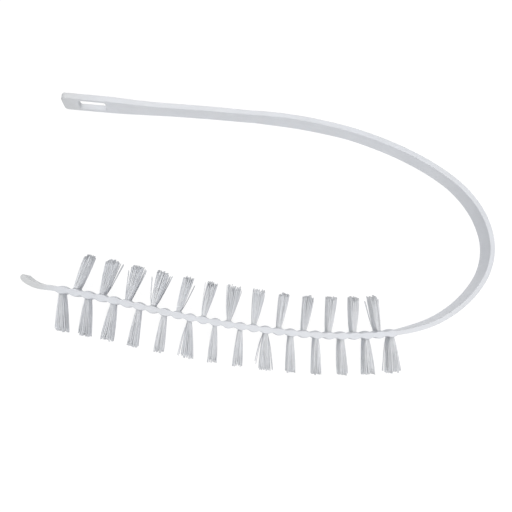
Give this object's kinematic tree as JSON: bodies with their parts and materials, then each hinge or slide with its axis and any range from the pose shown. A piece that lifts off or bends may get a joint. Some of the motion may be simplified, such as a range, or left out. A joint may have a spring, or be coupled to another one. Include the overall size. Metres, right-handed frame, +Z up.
{
  "type": "flexible lint brush",
  "caption": "Flexible plastic strip brush bent in a loop: slotted handle at one end, bristle tufts on both faces of the other, for sweeping lint from narrow gaps.",
  "frame": {"origin": "middle of the bounding box, on the plane that the strip's lower edge stands on", "axes": "+X along the longest extent, from the brush tip towards the loop; +Y from the brush towards the handle; +Z up along the strip's width"},
  "size_m": [0.3295, 0.1966, 0.0153],
  "materials": {
    "strip": "satin white moulded plastic",
    "bristle": "white nylon filaments",
    "anchor": "drawn flat wire"
  },
  "bodies": {
    "handle": {"handle": "strip"},
    "shaft_upper": {"shaft_upper": "strip"},
    "shaft_bend": {"shaft_bend": "strip"},
    "shaft_lower": {"shaft_lower": "strip"},
    "brush_rear": {"brush_spine_rear": "strip", "tuft_outer_01": "bristle", "anchor_outer_01": "anchor", "tuft_inner_02": "bristle", "anchor_inner_02": "anchor", "tuft_outer_03": "bristle", "anchor_outer_03": "anchor", "tuft_inner_04": "bristle", "anchor_inner_04": "anchor", "tuft_outer_05": "bristle", "anchor_outer_05": "anchor", "tuft_inner_06": "bristle", "anchor_inner_06": "anchor", "tuft_outer_07": "bristle", "anchor_outer_07": "anchor", "tuft_inner_08": "bristle", "anchor_inner_08": "anchor", "tuft_outer_09": "bristle", "anchor_outer_09": "anchor", "tuft_inner_10": "bristle", "anchor_inner_10": "anchor", "tuft_outer_11": "bristle", "anchor_outer_11": "anchor", "tuft_inner_12": "bristle", "anchor_inner_12": "anchor", "tuft_outer_13": "bristle", "anchor_outer_13": "anchor"},
    "brush_front": {"brush_spine_front": "strip", "tuft_inner_14": "bristle", "anchor_inner_14": "anchor", "tuft_outer_15": "bristle", "anchor_outer_15": "anchor", "tuft_inner_16": "bristle", "anchor_inner_16": "anchor", "tuft_outer_17": "bristle", "anchor_outer_17": "anchor", "tuft_inner_18": "bristle", "anchor_inner_18": "anchor", "tuft_outer_19": "bristle", "anchor_outer_19": "anchor", "tuft_inner_20": "bristle", "anchor_inner_20": "anchor", "tuft_outer_21": "bristle", "anchor_outer_21": "anchor", "tuft_inner_22": "bristle", "anchor_inner_22": "anchor", "tuft_outer_23": "bristle", "anchor_outer_23": "anchor", "tuft_inner_24": "bristle", "anchor_inner_24": "anchor", "tuft_outer_25": "bristle", "anchor_outer_25": "anchor", "tuft_inner_26": "bristle", "anchor_inner_26": "anchor", "tuft_outer_27": "bristle", "anchor_outer_27": "anchor"}
  },
  "joints": [
    {"name": "flex_upper", "type": "hinge", "parent": "handle", "child": "shaft_upper", "pos_m": [-0.02467, 0.0872, 0.00735], "axis": [0, 0, 1], "range_deg": [-6, 30], "stiffness_Nm_per_rad": 0.55},
    {"name": "flex_bend_upper", "type": "hinge", "parent": "shaft_upper", "child": "shaft_bend", "pos_m": [0.07177, 0.07202, 0.00735], "axis": [0, 0, 1], "range_deg": [-6, 35], "stiffness_Nm_per_rad": 0.55},
    {"name": "flex_bend_lower", "type": "hinge", "parent": "shaft_bend", "child": "shaft_lower", "pos_m": [0.16047, 0.00581, 0.00735], "axis": [0, 0, 1], "range_deg": [-6, 35], "stiffness_Nm_per_rad": 0.55},
    {"name": "flex_brush_root", "type": "hinge", "parent": "shaft_lower", "child": "brush_rear", "pos_m": [0.09952, -0.06848, 0.00735], "axis": [0, 0, 1], "range_deg": [-6, 30], "stiffness_Nm_per_rad": 0.55},
    {"name": "flex_brush_middle", "type": "hinge", "parent": "brush_rear", "child": "brush_front", "pos_m": [-0.0217, -0.06384, 0.00735], "axis": [0, 0, 1], "range_deg": [-10, 10], "stiffness_Nm_per_rad": 0.6}
  ]
}
